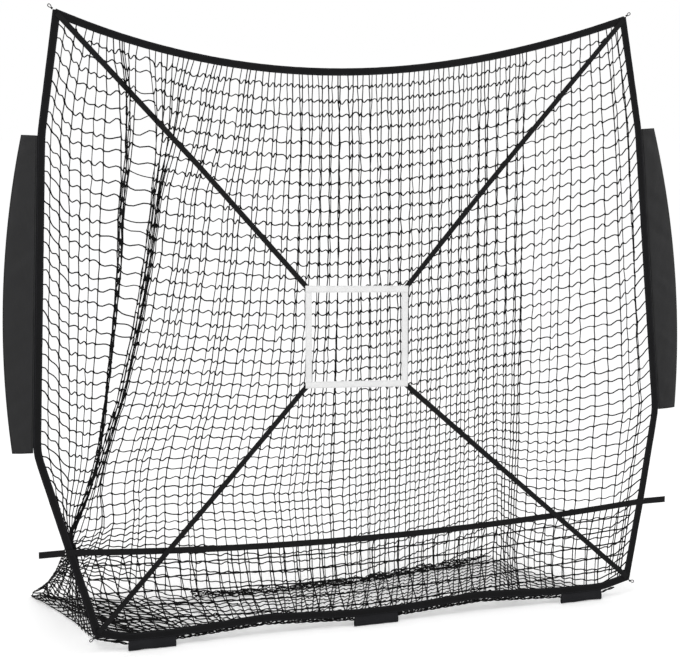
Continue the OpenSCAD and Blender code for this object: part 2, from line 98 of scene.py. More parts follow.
def clothGrid(columns, rows):
    bm = bmesh.new()
    bmesh.ops.create_grid(bm, x_segments=columns, y_segments=rows, size=1.0)
    return bm, bm.loops.layers.uv.new("UVMap")


def clothMesh(name, bm, uvLayer, places):
    # the finished mesh of a shaped grid, with the place of each point on its cloth as UV
    for bmFace in bm.faces:
        for loop in bmFace.loops:
            loop[uvLayer].uv = places[loop.vert]
    bmesh.ops.recalc_face_normals(bm, faces=bm.faces)
    mesh = bpy.data.meshes.new(name)
    bm.to_mesh(mesh)
    bm.free()
    mesh.shade_smooth()
    return mesh


def thicken(obj, thickness):
    wall = obj.modifiers.new("wall", "SOLIDIFY")
    wall.thickness = thickness * mm
    wall.offset = 0


# Materials

def linear(colour):
    parts = [int(colour[i:i + 2], 16) / 255 for i in (1, 3, 5)]
    return tuple(c / 12.92 if c <= 0.04045 else ((c + 0.055) / 1.055) ** 2.4 for c in parts) + (1.0,)


def addNode(tree, kind, settings=None, links=None):
    node = tree.nodes.new(kind)
    for key, value in (settings or {}).items():
        if isinstance(key, int) or key in node.inputs:
            node.inputs[key].default_value = value
        else:
            setattr(node, key, value)
    for key, socket in (links or {}).items():
        tree.links.new(socket, node.inputs[key])
    return node


def wovenCloth(name, finish):
    # a woven cloth or tape: threads both ways, a little uneven, with stitching where it has any, and painted light on
    # the weave's raised threads
    material = bpy.data.materials.new(name)
    material.use_nodes = True
    tree = material.node_tree
    shader = tree.nodes["Principled BSDF"]
    shader.inputs["Roughness"].default_value = finish["roughness"]
    shader.inputs["IOR"].default_value = 1.5
    shader.inputs["Sheen Weight"].default_value = finish["sheen"]
    shader.inputs["Sheen Roughness"].default_value = 0.5
    shader.inputs["Specular IOR Level"].default_value = finish["gloss"]
    uv = addNode(tree, "ShaderNodeUVMap", {"uv_map": "UVMap"})
    parts = addNode(tree, "ShaderNodeSeparateXYZ", links={0: uv.outputs["UV"]})
    threads = []
    for axis, spacing in (("X", finish["threadAlong"]), ("Y", finish["threadAcross"])):
        turn = addNode(tree, "ShaderNodeMath", {"operation": "MULTIPLY", 1: 2 * math.pi / (spacing * mm)},
                       {0: parts.outputs[axis]})
        threads.append(addNode(tree, "ShaderNodeMath", {"operation": "SINE"}, {0: turn.outputs[0]}))
    weave = addNode(tree, "ShaderNodeMath", {"operation": "MULTIPLY"},
                    {0: threads[0].outputs[0], 1: threads[1].outputs[0]})
    place = addNode(tree, "ShaderNodeTexCoord")
    wear = addNode(tree, "ShaderNodeTexNoise", {"Scale": finish["wearScale"], "Detail": 5.0, "Roughness": 0.6},
                   {"Vector": place.outputs["Object"]})
    ramp = addNode(tree, "ShaderNodeValToRGB", links={0: wear.outputs[0]})
    ramp.color_ramp.elements[0].position, ramp.color_ramp.elements[1].position = 0.3, 0.72
    ramp.color_ramp.elements[0].color = linear(finish["dark"])
    ramp.color_ramp.elements[1].color = linear(finish["light"])
    # painted light and shade: the weave's raised threads are mixed toward the 'thread' colour, a painted highlight on
    # black cloth and painted shade on white webbing
    paintedWeaveLightMask = addNode(tree, "ShaderNodeMapRange", {1: -1.0, 2: 1.0, 3: 0.0, 4: finish["paintedWeaveLightShare"]},
                    {0: weave.outputs[0]})
    colour = addNode(tree, "ShaderNodeMix", {"data_type": "RGBA", 7: linear(finish["thread"])},
                     {0: paintedWeaveLightMask.outputs[0], 6: ramp.outputs[0]})
    height = weave
    if finish.get("stitch"):
        # a row of lockstitch dashes at each side of the tape, laid in from its edges
        across = addNode(tree, "ShaderNodeMath", {"operation": "ABSOLUTE"}, {0: parts.outputs["Y"]})
        off = addNode(tree, "ShaderNodeMath", {"operation": "SUBTRACT", 1: finish["stitch"]["inset"] * mm},
                      {0: across.outputs[0]})
        near = addNode(tree, "ShaderNodeMath", {"operation": "ABSOLUTE"}, {0: off.outputs[0]})
        onLine = addNode(tree, "ShaderNodeMath", {"operation": "LESS_THAN", 1: 0.35 * mm}, {0: near.outputs[0]})
        pace = addNode(tree, "ShaderNodeMath", {"operation": "DIVIDE", 1: finish["stitch"]["length"] * mm},
                       {0: parts.outputs["X"]})
        part = addNode(tree, "ShaderNodeMath", {"operation": "FRACT"}, {0: pace.outputs[0]})
        dash = addNode(tree, "ShaderNodeMath", {"operation": "LESS_THAN", 1: 0.78}, {0: part.outputs[0]})
        thread = addNode(tree, "ShaderNodeMath", {"operation": "MULTIPLY"}, {0: onLine.outputs[0], 1: dash.outputs[0]})
        colour = addNode(tree, "ShaderNodeMix", {"data_type": "RGBA", 7: linear(finish["stitch"]["colour"])},
                         {0: thread.outputs[0], 6: colour.outputs[2]})
        height = addNode(tree, "ShaderNodeMath", {"operation": "MULTIPLY_ADD", 1: 2.5},
                         {0: thread.outputs[0], 2: weave.outputs[0]})
    tree.links.new(colour.outputs[2], shader.inputs["Base Color"])
    bump = addNode(tree, "ShaderNodeBump", {"Strength": finish["bump"], "Distance": 0.35 * mm},
                   {"Height": height.outputs[0]})
    tree.links.new(bump.outputs[0], shader.inputs["Normal"])
    return material


def twistedCord(name, finish):
    # a cord of twisted or braided yarns, drawn as slanting ridges round it
    material = bpy.data.materials.new(name)
    material.use_nodes = True
    tree = material.node_tree
    shader = tree.nodes["Principled BSDF"]
    shader.inputs["Roughness"].default_value = finish["roughness"]
    shader.inputs["IOR"].default_value = 1.5
    shader.inputs["Specular IOR Level"].default_value = finish["gloss"]
    place = addNode(tree, "ShaderNodeTexCoord")
    yarns = addNode(tree, "ShaderNodeTexWave",
                    {"wave_type": "BANDS", "bands_direction": "DIAGONAL", "Scale": finish["ridges"], "Distortion": 1.2},
                    {"Vector": place.outputs["Object"]})
    fade = addNode(tree, "ShaderNodeTexNoise", {"Scale": 9.0, "Detail": 3.0}, {"Vector": place.outputs["Object"]})
    ramp = addNode(tree, "ShaderNodeValToRGB", links={0: fade.outputs[0]})
    ramp.color_ramp.elements[0].position, ramp.color_ramp.elements[1].position = 0.35, 0.7
    ramp.color_ramp.elements[0].color = linear(finish["dark"])
    ramp.color_ramp.elements[1].color = linear(finish["light"])
    tree.links.new(ramp.outputs[0], shader.inputs["Base Color"])
    bump = addNode(tree, "ShaderNodeBump", {"Strength": finish["bump"], "Distance": 0.3 * mm},
                   {"Height": yarns.outputs["Fac"]})
    tree.links.new(bump.outputs[0], shader.inputs["Normal"])
    return material


# Knotted polyethylene twine, dyed black: dull, with a faint grey where the yarns stand up
nettingTwine = twistedCord("blackPolyethyleneTwine",
                           {"dark": "#060607", "light": "#0e0e0f", "roughness": 0.75, "gloss": 0.12,
                            "ridges": 260.0, "bump": 0.4})
# Folded polyester grosgrain: fine ribs across the tape, matt black, sewn along both edges, with a painted highlight on
# its raised threads
bindingTape = wovenCloth("blackGrosgrainBinding", {
    "dark": "#080809", "light": "#0f0f10", "thread": "#19191b", "paintedWeaveLightShare": 0.35,
    "roughness": 0.8, "sheen": 0.0, "gloss": 0.14,
    "threadAlong": 1.4, "threadAcross": 2.4, "wearScale": 14.0, "bump": 0.5,
    "stitch": {"inset": 9.5, "length": 4.0, "colour": "#303035"}})
# Flat polypropylene webbing: chunky plain weave with a slight painted shine on the floats
strapWebbing = wovenCloth("blackPolypropyleneWebbing", {
    "dark": "#080809", "light": "#0e0e0f", "thread": "#1b1b1d", "paintedWeaveLightShare": 0.4,
    "roughness": 0.65, "sheen": 0.0, "gloss": 0.14,
    "threadAlong": 1.8, "threadAcross": 1.8, "wearScale": 18.0, "bump": 0.6})
# White polyester webbing: bright, matt, with a little painted grey shade in the weave, between the picks
zoneWebbing = wovenCloth("whitePolyesterWebbing", {
    "dark": "#dfdfde", "light": "#ebebea", "thread": "#d8d8dc", "paintedWeaveLightShare": 0.3,
    "roughness": 0.75, "sheen": 0.0, "gloss": 0.3,
    "threadAlong": 1.8, "threadAcross": 1.8, "wearScale": 22.0, "bump": 0.5,
    "stitch": {"inset": 9.0, "length": 3.5, "colour": "#c8c8cc"}})
# Coated oxford polyester: flat black with a soft sheen, a fine square weave and a painted highlight on its raised
# threads
sleeveOxford = wovenCloth("blackOxfordPolyester", {
    "dark": "#09090a", "light": "#0f0f11", "thread": "#171719", "paintedWeaveLightShare": 0.3,
    "roughness": 0.5, "sheen": 0.0, "gloss": 0.32,
    "threadAlong": 1.2, "threadAcross": 1.2, "wearScale": 8.0, "bump": 0.3})
# The tabs are the same oxford in two layers, dulled by the ground, with the same painted highlight on the weave
tabOxford = wovenCloth("blackOxfordTab", {
    "dark": "#0e0e10", "light": "#1a1a1d", "thread": "#242428", "paintedWeaveLightShare": 0.35,
    "roughness": 0.72, "sheen": 0.0, "gloss": 0.16,
    "threadAlong": 1.2, "threadAcross": 1.2, "wearScale": 16.0, "bump": 0.4})
# Braided elastic cord: rubber under a polyester braid, black flecked with grey
elasticBraid = twistedCord("darkElasticBraid",
                           {"dark": "#0d0d0f", "light": "#222226", "roughness": 0.7, "gloss": 0.2,
                            "ridges": 420.0, "bump": 0.6})
print("materials made")


# Camera, floor and light

view = {"place": (-2.569, -6.155, 1.886), "yaw": 21.56, "down": 7.30, "lens": 103.2}
camera = bpy.data.objects.new("Camera", bpy.data.cameras.new("Camera"))
bpy.context.scene.collection.objects.link(camera)
camera.location = view["place"]
camera.rotation_euler = (math.radians(90 - view["down"]), 0, math.radians(-view["yaw"]))
camera.data.sensor_width = 36
camera.data.sensor_fit = "HORIZONTAL"
camera.data.lens = view["lens"]
camera.data.clip_end = 60
bpy.context.scene.camera = camera
bpy.context.scene.view_settings.view_transform = "Standard"

studio = {"ground": -17.0, "floorSize": 120.0, "skyLight": 0.84, "key": 112, "fill": 50, "paperLift": 0.2}
bm = bmesh.new()
bmesh.ops.create_grid(bm, x_segments=4, y_segments=4, size=studio["floorSize"] / 2)
floorMesh = bpy.data.meshes.new("floor")
bm.to_mesh(floorMesh)
bm.free()
floor = bpy.data.objects.new("floor", floorMesh)
bpy.context.scene.collection.objects.link(floor)
floor.data.transform(Matrix.Translation((0, 20, studio["ground"] * mm - 0.0005)))
paper = bpy.data.materials.new("whiteStudioPaper")
paper.use_nodes = True
paperTree = paper.node_tree
paperShader = paperTree.nodes["Principled BSDF"]
paperShader.inputs["Base Color"].default_value = linear("#fbfbfb")
paperShader.inputs["Roughness"].default_value = 0.9
paperShader.inputs["Specular IOR Level"].default_value = 0.1
paperShader.inputs["Emission Color"].default_value = (1, 1, 1, 1)
paperSeen = addNode(paperTree, "ShaderNodeLightPath")
paperLift = addNode(paperTree, "ShaderNodeMath", {"operation": "MULTIPLY", 1: studio["paperLift"]},
                    {0: paperSeen.outputs["Is Camera Ray"]})
paperTree.links.new(paperLift.outputs[0], paperShader.inputs["Emission Strength"])
floorMesh.materials.append(paper)

world = bpy.data.worlds.new("studio")
bpy.context.scene.world = world
world.use_nodes = True
sky = world.node_tree
seen = addNode(sky, "ShaderNodeLightPath")
seenOrGloss = addNode(sky, "ShaderNodeMath", {"operation": "MAXIMUM"},
                      {0: seen.outputs["Is Camera Ray"], 1: seen.outputs["Is Glossy Ray"]})
seenAny = addNode(sky, "ShaderNodeMath", {"operation": "MAXIMUM"},
                  {0: seenOrGloss.outputs[0], 1: seen.outputs["Is Transmission Ray"]})
strength = addNode(sky, "ShaderNodeMapRange", {3: studio["skyLight"], 4: 1.0}, {0: seenAny.outputs[0]})
sky.links.new(strength.outputs[0], sky.nodes["Background"].inputs["Strength"])
sky.nodes["Background"].inputs["Color"].default_value = (1, 1, 1, 1)


def softLight(name, place, size, power, aim=(0, 0.2, 1.0)):
    lamp = bpy.data.lights.new(name, "AREA")
    lamp.shape = "SQUARE"
    lamp.size = size
    lamp.energy = power
    obj = bpy.data.objects.new(name, lamp)
    bpy.context.scene.collection.objects.link(obj)
    obj.location = place
    obj.rotation_euler = (Vector(aim) - Vector(place)).to_track_quat("-Z", "Y").to_euler()
    return obj


softLight("keyLight", (-3.2, -4.2, 4.6), 2.6, studio["key"])
softLight("fillLight", (4.0, -3.0, 3.4), 3.0, studio["fill"])
print("camera and light set")


# Face of the net

# Height, half width and distance back of the side bindings, from the foot up
face = {
    "outline": [(58, 1003, 2), (328, 1080, 45), (659, 1172, 104), (1701, 1120, 180), (2100, 1058, 198)],
    "topSag": 190, "topTilt": 22, "topHalf": 1058, "topHeight": 2100, "topBack": 198,
    "hem": [(0, 31.3), (82.5, 31.3), (407.5, 49.3), (732.5, 31.3), (897.5, 31.3), (1003, 58)],
    "crossHalf": 1080, "crossHeight": 328, "crossSag": 52, "crossBack": 45, "crossBow": 34,
}


def sideHalf(z):
    return lookup([row[:2] for row in face["outline"]], z)


def sideBack(z):
    return lookup([(row[0], row[2]) for row in face["outline"]], z)


def sidePoint(side, z):
    return Vector((side * sideHalf(z), sideBack(z), z))


def topZ(x):
    # hangs lowest a little left of the middle, where the gathered netting weighs most
    share = x / face["topHalf"]
    return face["topHeight"] - face["topSag"] * (1 - share ** 2) + face["topTilt"] * share * (1 - share ** 2)


def hemPoint(x):
    return Vector((x, 2 * abs(x) / 1003, lookup(face["hem"], abs(x))))


def crossPoint(x):
    rise = 1 - (x / face["crossHalf"]) ** 2
    return Vector((x, face["crossBack"] + face["crossBow"] * rise, face["crossHeight"] - face["crossSag"] * rise))


# Bands of tape and webbing

front = Vector((0, -1, 0))


def bandFrame(line, i):
    run = (line[min(i + 1, len(line) - 1)] - line[max(i - 1, 0)]).normalized()
    out = (front - run * run.dot(front)).normalized()
    return run, out, out.cross(run)


def layBand(name, line, shape, material, node, body, frameOf=bandFrame):
    # a flat band along a line: a grid laid on it, given its thickness and soft edges
    lengths = walk(line)
    across = shape.get("across", 6)
    bm, uvLayer = clothGrid(len(line) - 1, across)
    frames = [frameOf(line, i) for i in range(len(line))]
    places = {}
    for vert in bm.verts:
        i = round((vert.co.x + 1) / 2 * (len(line) - 1))
        side = vert.co.y
        _, out, over = frames[i]
        wave = noise.noise(Vector((lengths[i] / shape.get("waveLength", 60), side * 0.8, shape.get("seed", 0))))
        pucker = shape.get("pucker", 0) * wave
        edge = shape.get("edgeWave", 0) * noise.noise(Vector((lengths[i] / 25, side * 9, shape.get("seed", 0) + 5)))
        crown = shape.get("crown", 0) * (1 - side * side)
        half = shape["width"] / 2 + edge
        vert.co = (line[i] + over * (side * half) + out * (pucker + crown)) * mm
        places[vert] = (lengths[i] * mm, side * shape["width"] / 2 * mm)
    obj = link(name, clothMesh(name, bm, uvLayer, places), material, node, body)
    thicken(obj, shape["thick"])
    soft = obj.modifiers.new("softEdge", "BEVEL")
    soft.width = shape["thick"] * 0.35 * mm
    soft.segments = 2
    soft.limit_method = "ANGLE"
    soft.angle_limit = math.radians(50)
    return obj


binding = {"width": 26, "thick": 3.0, "pucker": 0.9, "edgeWave": 0.5, "waveLength": 45, "across": 6}


def sideRun(side, up):
    ends = (2100, 1701) if up > 0 else (58, 328)
    return (sidePoint(side, ends[0]) - sidePoint(side, ends[1])).normalized()


def sideTip(side, up):
    return sidePoint(side, 2100 if up > 0 else 58) + sideRun(side, up) * binding["width"] / 2.5


for side, label in ((-1, "left"), (1, "right")):
    bends = [sideTip(side, -1)] + [sidePoint(side, z) for z in (328, 659, 1701)] + [sideTip(side, 1)]
    layBand(label + "Binding", resample(bends, 18, 3), dict(binding, width=27.2, seed=side * 3), bindingTape,
            label + "_binding", "net")

topEnd = 1064
topXs = [topEnd * (i / 24 - 1) for i in range(49)]
topLine = resample([Vector((x, face["topBack"] - 0.5 * (abs(x) > 1030), topZ(x))) for x in topXs], 16)
layBand("topBinding", topLine, dict(binding, seed=11), bindingTape, "top_binding", "net")
hemEnd = 1006.0
hemHalf = (0, 40, 82.5, 165, 245, 325, 407.5, 490, 570, 650, 732.5, 815, 897.5, 945, hemEnd)
hemXs = sorted({sign * x for sign in (-1, 1) for x in hemHalf})
layBand("bottomBinding", resample([hemPoint(x) for x in hemXs], 16, 2), dict(binding, width=28, seed=17), bindingTape,
        "bottom_binding", "net")
print("bindings sewn")


# Strike zone

zone = {"width": 391, "height": 363, "strip": 24, "back": 181, "centre": 981, "turn": 2.2, "thick": 1.3, "layer": 1.6}


def zonePoint(x, z, back=0):
    return Vector((x, zone["back"] + back, zone["centre"] - x * math.sin(math.radians(zone["turn"])) + z))


zoneX = (zone["width"] - zone["strip"]) / 2
zoneZ = (zone["height"] - zone["strip"]) / 2
stripShape = {"width": zone["strip"], "thick": zone["thick"], "pucker": 0.35, "edgeWave": 0.3, "waveLength": 50,
              "across": 4}
for label, ends, back in (("Top", ((-zone["width"] / 2, zoneZ), (zone["width"] / 2, zoneZ)), -zone["layer"]),
                          ("Bottom", ((-zone["width"] / 2, -zoneZ), (zone["width"] / 2, -zoneZ)), -zone["layer"]),
                          ("Left", ((-zoneX, -zone["height"] / 2), (-zoneX, zone["height"] / 2)), 0),
                          ("Right", ((zoneX, -zone["height"] / 2), (zoneX, zone["height"] / 2)), 0)):
    line = resample([zonePoint(*ends[0], back), zonePoint(*ends[1], back)], 12)
    layBand("zone" + label + "Strip", line, dict(stripShape, seed=len(label)), zoneWebbing,
            "zone_" + label.lower() + "_strip", "net")
print("strike zone sewn")


# Diagonal straps and cross strap

strap = {"width": 19, "thick": 1.3, "lap": 42, "pucker": 0.5, "edgeWave": 0.25, "waveLength": 90, "across": 4,
         "laps": {(-1, 1): 0.51, (1, 1): 0.61, (-1, -1): 0.58, (1, -1): 0.68}}


def strapCorner(side, up):
    return sidePoint(side, 2100 if up > 0 else 58) + front * (2.45 + (0.7 if up > 0 else 1.3))


def strapTarget(side, up):
    return zonePoint(side * zoneX, up * zoneZ, zone["layer"])


def strapBend(side, up, to):
    a = strapCorner(side, up)
    run = to - a
    flat = run if up > 0 else Vector((run.x, 0, run.z))
    return a + flat.normalized() * binding["width"] * 1.6


for (side, up), share in strap["laps"].items():
    label = ("upper" if up > 0 else "lower") + ("Left" if side < 0 else "Right")
    node = ("upper" if up > 0 else "lower") + ("_left" if side < 0 else "_right")
    a, b = strapCorner(side, up), strapTarget(side, up)
    lap = mix(a, b, share) + Vector((0, 0, 9 if up > 0 else -2))
    bend = strapBend(side, up, lap)
    end = lap + (lap - bend).normalized() * strap["lap"] / 2
    layBand(label + "CornerStrap", resample([a, bend, end], 14, 1), dict(strap, seed=side + 3 * up), strapWebbing,
            node + "_corner_strap", "net")
    nearZone = b - Vector((b.x - lap.x, 0, b.z - lap.z)).normalized() * zone["strip"] * 1.2
    along = (lap - strapBend(side, up, lap)).normalized()
    over = Vector((0, -zone["layer"] - 0.2, 0))
    layBand(label + "TargetStrap",
            resample([lap - along * strap["lap"] / 2 + over, lap + along * strap["lap"] + over, nearZone, b], 14),
            dict(strap, seed=side + 3 * up + 9), strapWebbing, node + "_target_strap", "net")

cross = {"width": 22, "thick": 1.3, "pucker": 1.2, "edgeWave": 0.3, "waveLength": 110, "across": 4, "seed": 31}
# The strap lies flat under each side binding, and bows between them
crossHalf = 1064.2
crossEnd = [(1095.3, 42.2, 328), (1068.8, 42.2, 327.4)]
crossMiddle = [crossPoint(crossHalf * 0.985 * (i / 24 - 1)) for i in range(49)]
crossLine = resample([Vector((-x, y, z)) for x, y, z in crossEnd] + crossMiddle
                     + [Vector(place) for place in reversed(crossEnd)], 12)
layBand("crossStrap", crossLine, cross, strapWebbing, "cross_strap", "net")

strapEnd = {"width": 22, "thick": 1.25, "pivot": (1098.27, 45, 328)}


def levelFrame(line, i):
    run = (line[min(i + 1, len(line) - 1)] - line[max(i - 1, 0)]).normalized()
    up = Vector((0, 0, 1))
    return run, up.cross(run), up


for side, label in ((-1, "left"), (1, "right")):
    # the webbing runs out, turns back on itself and is sewn down doubled
    x0, y0, z0 = strapEnd["pivot"]
    fold = [Vector((side * (x0 + out), y0 + back, z0)) for out, back in
            ((-0.5, -0.68), (20, -0.72), (60, -0.75), (84, -0.9), (87.2, -0.5),
             (87.2, 0.5), (84, 0.9), (60, 0.75), (20, 0.72), (-0.5, 0.68))]
    line = []
    for a, b in zip(fold, fold[1:]):
        count = max(1, round((b - a).length / 8))
        line += [mix(a, b, i / count) for i in range(count)]
    line.append(fold[-1])
    layBand("crossStrap" + label.capitalize() + "End", line, dict(strapEnd, across=4), strapWebbing,
            "cross_strap_" + label + "_end", label + "_strap_end", levelFrame)
print("straps sewn")


# Sleeves

sleeve = {"topWidth": 53, "footWidth": 69, "bow": 45, "depth": 11, "cloth": 0.8, "seam": 7, "start": 14.1,
          "hem": 14, "wrinkle": 3.4}
seamFoot, seamHead = sidePoint(1, 659), sidePoint(1, 1701)
sleeveLength = (seamHead - seamFoot).length
sleeveUp = (seamHead - seamFoot).normalized()
sleeveFront = (front - sleeveUp * sleeveUp.dot(front)).normalized()
sleeveOut = -sleeveFront.cross(sleeveUp)


def onSeam(side, out, back, up):
    p = seamFoot + sleeveOut * (sleeve["start"] + out) - sleeveFront * back + sleeveUp * up
    return Vector((side * p.x, p.y, p.z))


def sleeveWidth(t):
    return mix(sleeve["footWidth"], sleeve["topWidth"], t) + sleeve["bow"] * 4 * t * (1 - t)


def sleevePanel(side, face, name, node):
    # one wall of the channel: held flat at the seam and the outer fold, loose and creased between
    bm, uvLayer = clothGrid(22, 130)
    places = {}
    for vert in bm.verts:
        f, t = (vert.co.x + 1) / 2, (vert.co.y + 1) / 2
        width = sleeveWidth(t)
        out = mix(sleeve["seam"] * 0.4, width - 1.2, f)
        puff = math.sin(math.pi * min(max(f, 0.0), 1.0)) ** 0.55
        up = t * sleeveLength
        folds = noise.noise(Vector((out / 26 - up / 70, up / 120, 3 * side + face)))
        slant = noise.noise(Vector((out / 60 + up / 48, up / 200, 7 * side + face)))
        sag = sleeve["wrinkle"] * (folds + 0.8 * slant) * puff
        hem = 0.5 if min(up, sleeveLength - up) < sleeve["hem"] else 0.0
        depth = 0.9 + (sleeve["depth"] / 2 - 0.4) * puff + hem * puff + max(min(sag, 1.8), -3.4)
        vert.co = onSeam(side, out, face * max(depth, 0.7), up) * mm
        places[vert] = (up * mm, out * mm)
    body = "left_sleeve" if side < 0 else "right_sleeve"
    obj = link(name, clothMesh(name, bm, uvLayer, places), sleeveOxford, node, body)
    thicken(obj, sleeve["cloth"])
    return obj


def tube(name, line, radius, sides, material, node, body, swell=None, closed=False):
    curve = bpy.data.curves.new(name, "CURVE")
    curve.dimensions = "3D"
    curve.bevel_depth = radius * mm
    curve.bevel_resolution = max(0, sides // 2 - 2)
    curve.use_fill_caps = True
    runs = line if isinstance(line[0], list) else [line]
    for n, run in enumerate(runs):
        spline = curve.splines.new("POLY")
        spline.points.add(len(run) - 1)
        flat = []
        for p in run:
            flat += [p[0] * mm, p[1] * mm, p[2] * mm, 1.0]
        spline.points.foreach_set("co", flat)
        if swell:
            spline.points.foreach_set("radius", swell[n])
        spline.use_cyclic_u = closed
    holder = bpy.data.objects.new(name + "Line", curve)
    bpy.context.scene.collection.objects.link(holder)
    bpy.context.view_layer.update()
    mesh = bpy.data.meshes.new_from_object(holder.evaluated_get(bpy.context.evaluated_depsgraph_get()))
    mesh.name = name
    bpy.data.objects.remove(holder)
    bpy.data.curves.remove(curve)
    mesh.materials.clear()
    mesh.shade_smooth()
    return link(name, mesh, material, node, body)


for side, label in ((-1, "left"), (1, "right")):
    body = label + "_sleeve"
    sleevePanel(side, -1, label + "SleeveFront", body + "_front")
    sleevePanel(side, 1, label + "SleeveBack", body + "_back")
    steps = 80
    edge = [onSeam(side, sleeveWidth(i / steps) - 1.5, 0, i / steps * sleeveLength) for i in range(steps + 1)]
    tube(label + "SleeveOuterEdge", edge, 1.7, 8, sleeveOxford, body + "_outer_edge", body)
    flange = [onSeam(side, 2.9, 0, i / steps * sleeveLength) for i in range(steps + 1)]

    def seamFrame(line, i, side=side):
        run = (line[min(i + 1, len(line) - 1)] - line[max(i - 1, 0)]).normalized()
        out = Vector((side * sleeveFront.x, sleeveFront.y, sleeveFront.z))
        return run, out, out.cross(run)

    layBand(label + "SleeveSeam", flange,
            {"width": 8.6, "thick": 1.5, "pucker": 0.2, "edgeWave": 0.2, "across": 4, "seed": side}, sleeveOxford,
            body + "_seam", body, seamFrame)
print("sleeves sewn")


# Base tabs

tab = {"length": 165, "cloth": 1.3, "seamHeight": 17, "crease": 0.9}
# Half of the loop's section: distance out and height below the seam
tabSection = [(0.7, 1.5), (0.8, -5.0), (2.4, -8.5), (4.6, -14.0), (5.1, -22.0), (4.6, -29.5), (3.0, -32.2),
              (0.0, -33.2)]


def hangTab(name, node, x):
    section = [(-y, z) for y, z in tabSection] + list(reversed(tabSection[:-1]))
    around = resample([Vector((0, y, z)) for y, z in section], 3.0, 1)
    lengths = walk(around)
    bm, uvLayer = clothGrid(30, len(around) - 1)
    places = {}
    for vert in bm.verts:
        i = round((vert.co.y + 1) / 2 * (len(around) - 1))
        along = vert.co.x * tab["length"] / 2
        p = around[i]
        low = min(1.0, -p.z / 20)
        crease = tab["crease"] * noise.noise(Vector((along / 22, p.z / 30, x / 50 + (3 if p.y > 0 else 0)))) * low
        lift = max(0.0, noise.noise(Vector((along / 55, 4, x / 40)))) * 3.0 * low
        out = p.y * (1 + 0.05 * crease) + crease * (0.4 if p.y > 0 else -0.4)
        vert.co = Vector((x + along, 2 * abs(x) / 1003 + out,
                          tab["seamHeight"] + p.z + (lift if p.z < -28 else 0))) * mm
        places[vert] = (along * mm, lengths[i] * mm)
    obj = link(name, clothMesh(name, bm, uvLayer, places), tabOxford, node, node.replace("_base", ""))
    thicken(obj, tab["cloth"])
    return obj


for label, x in (("left", -815), ("middle", 0), ("right", 815)):
    hangTab(label + "BaseTab", label + "_base_tab", x)
print("base tabs sewn")


# Netting

# 48 mm knotted net, hung with about twice the cloth in its width, so that its columns crowd
net = {"row": 2.3, "column": 1.95, "knot": 1.55, "mesh": 48.5, "wave": 7.0, "zigzag": 16, "stagger": 3.5,
       "bundleStagger": 13, "behind": 6.0, "ground": -15.0, "head": 203, "leftFold": -834, "rightHead": 1062,
       "rightFold": 0.927, "faceWidth": 1896, "flatFrom": 0.79, "rightCorner": 0.73, "strapLevel": 335,
       "secondFold": 0.047, "toRear": (0.0, 0.048), "hemRise": 190, "pieceLimit": 20000, "breakAt": 180,
       "strapHeight": 374, "footDepth": 340, "cornerDepth": 690, "rimFoot": 58, "rimFrom": 0.86, "rimShare": 0.14,
       "sideSplit": (0.42, 0.58), "wingRoot": (-1068, 58, 352), "wingHead": 380, "foldFoot": 352, "foldTo": 0.09,
       "edgeFrom": 0.955, "edgeFoot": 50, "hemHalf": 972, "rumple": 9, "bundled": (-0.15, 0.1)}
chance = random.Random(20)

# Gathered fold left of the middle and the free edge below it: height, place across, distance back
foldLeft = [(-13, -1047, 811), (66, -1050, 600), (142, -1052, 420), (224, -1062, 250), (291, -1070, 125),
            (340, -1068, 66), (389, -1062, 70), (461, -1022, 85), (553, -977, 115), (657, -942, 150),
            (776, -916, 180), (1030, -874, 215), (1258, -849, 220), (1423, -845, 215), (1571, -827, 210),
            (1715, -819, 205), (1858, -818, 200), (1973, -834, 203), (2050, -836, 203)]
# A second fold to its right, and the crease to its left
foldSecond = [(374, -1050), (463, -1004), (565, -958), (637, -928), (805, -870), (1027, -815), (1254, -771),
              (1458, -742), (1569, -731), (1684, -724), (1788, -728), (1947, -744)]
creaseLeft = [(374, -1079, 60), (465, -1086, 72), (513, -1074, 90), (625, -1057, 120), (888, -1045, 160),
              (1321, -1032, 185), (1691, -1020, 195), (1779, -1009, 195), (1868, -993, 198), (1956, -975, 200),
              (2054, -953, 203)]
# Share of the way back to the landing that a column has gone at each height
depthShare = [(-13, 1.0), (50, 1.07), (150, 0.98), (300, 0.81), (500, 0.575), (700, 0.385), (1000, 0.18), (1300, 0.075),
              (1600, 0.025), (1900, 0)]
# Slack: the knots of the lower net stand closer, because the ground takes its weight
knotSpacing = [(150, 0.8), (374, 0.8), (600, 0.825), (800, 0.875), (1000, 0.915), (1200, 0.95), (1500, 0.98),
               (1800, 1.0)]
# Share of their depth that the small folds between the columns keep at each height
foldShare = [(400, 0.3), (800, 0.5), (1300, 1.0)]
# The columns spread out at the top binding and run into the two folds below it: share there, share in the fold
gathers = [(-0.2, -0.04), (0, 0), (0.036, 0.009), (0.048, 0.0455), (0.084, 0.0535), (0.096, 0.0562), (0.14, 0.0626),
           (0.152, 0.074), (0.27, 0.24), (0.34, 0.34)]
gatherShare = [(1500, 1), (1850, 0.4), (2000, 0)]
# Where each column lands on the ground: share across, place across, distance back
landing = [(0, -1047, 811), (0.056, -1000, 790), (0.062, -870, 725), (0.1, -745, 662), (0.23, -410, 556),
           (0.34, -120, 534), (0.44, 140, 552), (0.6, 480, 626), (0.73, 800, 690), (0.8, 820, 524),
           (0.85, 863, 389), (0.9, 919, 291), (0.95, 976, 170), (1.0, 1003, 14)]
# The columns lie in upright planes that meet in this line, well in front and to the left
planes = (-2569, -6155)
# How much of the second fold's drift a column shares, high up and at the cross strap: share across, high, low
drift = [(0, 1, 1), (0.0545, 1, 1), (0.0605, 1, 0.62), (0.34, 0.17, 0.17), (0.46, 0, 0)]
fanOpen = [(374, 1.0), (463, 0.5), (565, 0.15), (700, 0)]
